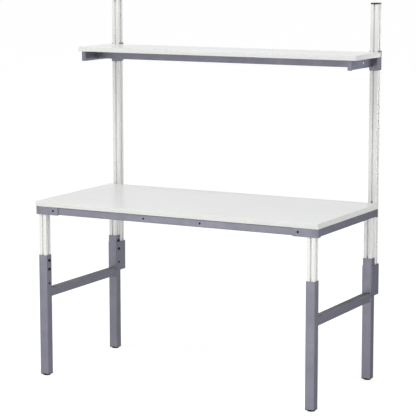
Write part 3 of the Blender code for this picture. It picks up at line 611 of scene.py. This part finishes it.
STOP_SCREW_HEIGHT = 0.459
BRACKET_SCREW_Y, BRACKET_SCREW_Z = 0.305, 0.524
SLOT_SCREW_Y, SLOT_SCREW_Z = 0.330, 0.869
BOARD_SCREW_Y = (-0.225, -0.025, 0.175)
BOARD_SCREW_X = (-0.52, -0.26, 0.0, 0.26, 0.52)
ARM_SCREW_Y = (0.08, 0.25)
SHEET = 0.002
ARM_SHEET = 0.003
stop_screw = screw_head(radius=0.0045, height=0.0040)
bracket_screw = screw_head(radius=0.0032, height=0.0008)
slot_screw = screw_head(radius=0.0035, height=0.0034)
board_screw = screw_head(radius=0.0046, height=0.0024)
grids = []
for side, hand in SIDES:
    for holder, facing in ((f"{side}_front_tube", f"{side}_front_leg"),
                           (f"{side}_upright_bracket", f"{side}_rear_leg")):
        low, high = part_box(holder)
        leg_low, leg_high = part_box(facing)
        inner = low.x if hand > 0 else high.x
        spot = (inner, (leg_low.y + leg_high.y) / 2, STOP_SCREW_HEIGHT)
        grids += turned([spot], (-hand, 0.0, 0.0), stop_screw)
put(surface("stop_screws", grids, closed_v=False), black_steel, "base")

grids = []
for side, hand in SIDES:
    low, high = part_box(f"{side}_upright_bracket")
    outer = high.x if hand > 0 else low.x
    grids += turned([(outer, BRACKET_SCREW_Y, BRACKET_SCREW_Z)], (hand, 0.0, 0.0), bracket_screw)
put(surface("bracket_side_screws", grids, closed_v=False), black_steel, "base")

low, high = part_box("right_upright")
spot = ((low.x + high.x) / 2, SLOT_SCREW_Y, SLOT_SCREW_Z)
grids = turned([spot], (0.0, -1.0, 0.0), slot_screw)
put(surface("upright_slot_screw", grids, closed_v=False), black_steel, "base")

grids = []
for rail in ("front_rail", "rear_rail"):
    low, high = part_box(rail)
    spots = [(x, (low.y + high.y) / 2, high.z - SHEET) for x in BOARD_SCREW_X]
    grids += turned(spots, (0.0, 0.0, -1.0), board_screw)
for side, _ in SIDES:
    low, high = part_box(f"{side}_rail")
    spots = [((low.x + high.x) / 2, y, high.z - SHEET) for y in BOARD_SCREW_Y]
    grids += turned(spots, (0.0, 0.0, -1.0), board_screw)
put(surface("worktop_board_screws", grids, closed_v=False), black_steel, "table")

grids = []
for side, _ in SIDES:
    low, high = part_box(f"{side}_shelf_arm")
    spots = [((low.x + high.x) / 2, y, high.z - ARM_SHEET) for y in ARM_SCREW_Y]
    grids += turned(spots, (0.0, 0.0, -1.0), board_screw)
put(surface("shelf_board_screws", grids, closed_v=False), black_steel, "shelf")


# Upright caps
# Dark grey moulded covers with a fine leather-like grain, pressed into the uprights' upper ends.
# Dust has settled on their tops.
CAP_GREY = (0.030, 0.030, 0.034, 1.0)
CAP_GREY_PALE = (0.042, 0.042, 0.047, 1.0)
grey_plastic, tree, shader, place = finish("grey_plastic", 0.48, specular=0.25)
texture = place_effect(tree, lumps, {"Place": place, "Lump": 0.0008, "Cloud": 0.03})
settled = place_effect(tree, dust, {"Place": place})
tone = blend(tree, texture["Clouds"], CAP_GREY, CAP_GREY_PALE)
tone = blend(tree, calc(tree, "MULTIPLY", settled["Dust"], 0.2), tone, DUST)
tree.links.new(tone, shader.inputs["Base Color"])
relief(tree, shader, texture["Lumps"], 0.00005)
dress([f"{side}_upright_cap" for side, _ in SIDES], grey_plastic, edge=0.0004)


# Shelf supports
# Arms of folded 3 mm sheet, a box beam between them and the collars that hold the uprights, all in
# the frame's paint. The beam is welded to the arms, and the arms to the collars.
dress([f"{side}_shelf_arm" for side, _ in SIDES], paint, edge=0.0005)
dress([f"{side}_shelf_collar" for side, _ in SIDES], paint, edge=0.0006)
dress(["shelf_beam"], paint)

BEAD_CLOSING = 0.003
BEAM_SIDE_BEAD, BEAM_SIDE_START = 0.037, 0.001
BEAM_LOWER_BEAD, BEAM_LOWER_START = 0.021, 0.002
COLLAR_BEAD, COLLAR_START = 0.032, 0.006


def straight_bead(start, axis, length):
    """A weld bead along axis, whose radius swells with every ripple and closes at both ends.

    radius = sqrt(1 - k * k) * rippled radius, where k falls from 1 to 0 over BEAD_CLOSING
    """
    run = np.linspace(0.0, length, 64)
    from_end = np.clip(np.minimum(run, length - run) / BEAD_CLOSING, 0.0, 1.0)
    closing = np.sqrt(1 - (1 - from_end) ** 2)
    return turned([start], axis, np.stack([closing * rippled(run), run], -1), BEAD_SIDES)[0]


beam_low, beam_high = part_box("shelf_beam")
for side, hand in SIDES:
    low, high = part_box(f"{side}_shelf_arm")
    web_inner = low.x if hand > 0 else high.x
    beam_end = beam_high.x if hand > 0 else beam_low.x
    up, back = (0.0, 0.0, 1.0), (0.0, 1.0, 0.0)
    grids = [straight_bead((beam_end, y, beam_low.z + BEAM_SIDE_START), up, BEAM_SIDE_BEAD)
             for y in (beam_low.y, beam_high.y)]
    under = (beam_end, beam_low.y + BEAM_LOWER_START, beam_low.z)
    grids.append(straight_bead(under, back, BEAM_LOWER_BEAD))
    grids += [straight_bead((x, high.y, low.z + COLLAR_START), up, COLLAR_BEAD)
              for x in (web_inner, web_inner + hand * ARM_SHEET)]
    put(surface(f"{side}_shelf_arm_welds", grids, closed_v=False), paint, "shelf")


# Studio
# A pale floor, soft lamps and the photograph's viewpoint. None of it belongs to the bench. The
# floor and the world show white to the camera and in reflections, and what shades the floor
# darkens it a little.
FLOOR_REACH = 90.0
FLOOR_GLOW = 0.80
FLOOR_SHADE = (0.42, 0.42, 0.42, 1.0)
FLOOR_PALE = (0.80, 0.80, 0.80, 1.0)
FLOOR_PALE_CLOUD = (0.77, 0.77, 0.77, 1.0)
WHITE = (1.0, 1.0, 1.0, 1.0)
WORLD_LIGHT = 0.46


def seen_directly(tree):
    """1 for the rays of the camera, of gloss and of glass, and 0 for all others."""
    rays = add(tree, "ShaderNodeLightPath").outputs
    return calc(tree, "MAXIMUM", rays["Is Camera Ray"], calc(
        tree, "MAXIMUM", rays["Is Glossy Ray"], rays["Is Transmission Ray"]))


reach = np.array([-FLOOR_REACH, FLOOR_REACH])
floor_grid = np.zeros((2, 2, 3))
floor_grid[..., 0] = reach[:, None]
floor_grid[..., 1] = reach[None, :]
floor = surface("floor", [floor_grid], closed_u=False, closed_v=False)
pale, tree, shader, place = finish("pale_floor", 0.9, specular=0.1)
texture = place_effect(tree, lumps, {"Place": place, "Lump": 0.02, "Cloud": 1.5})
tree.links.new(blend(tree, texture["Clouds"], FLOOR_PALE, FLOOR_PALE_CLOUD),
               shader.inputs["Base Color"])
shade = add(tree, "ShaderNodeBsdfDiffuse", {"Color": FLOOR_SHADE}).outputs[0]
glow = add(tree, "ShaderNodeEmission", {"Color": WHITE, "Strength": FLOOR_GLOW}).outputs[0]
lit = add(tree, "ShaderNodeAddShader", {0: shade, 1: glow}).outputs[0]
mixed = add(tree, "ShaderNodeMixShader", {
    0: seen_directly(tree), 1: shader.outputs[0], 2: lit}).outputs[0]
tree.links.new(mixed, tree.nodes["Material Output"].inputs["Surface"])
floor.data.materials.append(pale)

world = bpy.data.worlds.new("studio")
bpy.context.scene.world = world
world.use_nodes = True
tree = world.node_tree
backdrop = tree.nodes["Background"]
backdrop.inputs["Color"].default_value = WHITE
tree.links.new(spread(tree, seen_directly(tree), 0.0, 1.0, WORLD_LIGHT, 1.0),
               backdrop.inputs["Strength"])


def softbox(name, place, aim, width, height, power, spread_angle=180):
    """A rectangular lamp that faces the point aim. A grid narrows its spread, in degrees."""
    lamp = bpy.data.lights.new(name, "AREA")
    lamp.shape = "RECTANGLE"
    lamp.size, lamp.size_y = width, height
    lamp.energy = power
    lamp.spread = math.radians(spread_angle)
    obj = bpy.data.objects.new(name, lamp)
    bpy.context.scene.collection.objects.link(obj)
    obj.location = place
    towards = np.array(aim) - np.array(place)
    pitch = math.atan2(math.hypot(towards[0], towards[1]), -towards[2])
    obj.rotation_euler = (pitch, 0.0, math.atan2(-towards[0], towards[1]))
    obj.visible_camera = False


softbox("front_softbox", (-0.80, -3.2, 0.34), (0.10, -0.3, 0.5),
        width=2.8, height=0.7, power=15.5)
softbox("top_softbox", (-0.6, -3.2, 6.2), (0.0, 0.0, 0.8),
        width=4.0, height=3.3, power=232)
softbox("right_softbox", (2.1, 4.0, 1.30), (0.72, 0.15, 1.50),
        width=1.2, height=0.5, power=2.5, spread_angle=60)
softbox("side_softbox", (3.9, -2.1, 0.6), (0.6, -0.35, 0.55),
        width=0.9, height=1.0, power=2.4, spread_angle=60)
softbox("rear_softbox", (1.75, 0.6, 0.5), (0.72, -0.35, 0.6),
        width=0.3, height=0.9, power=1.5)

CAMERA_PLACE = (3.897, -7.3357, 2.1055)
CAMERA_PITCH = 8.717
CAMERA_YAW = 27.999
FOCAL_PIXELS = 1739.7
FRAME_PIXELS = 416
SENSOR = 36.0
view = bpy.data.cameras.new("photograph_view")
view.sensor_width = SENSOR
view.lens = FOCAL_PIXELS * SENSOR / FRAME_PIXELS
camera = bpy.data.objects.new("photograph_view", view)
bpy.context.scene.collection.objects.link(camera)
camera.location = CAMERA_PLACE
camera.rotation_euler = (math.radians(90 - CAMERA_PITCH), 0.0, math.radians(CAMERA_YAW))
bpy.context.scene.camera = camera
bpy.context.scene.view_settings.view_transform = "Standard"
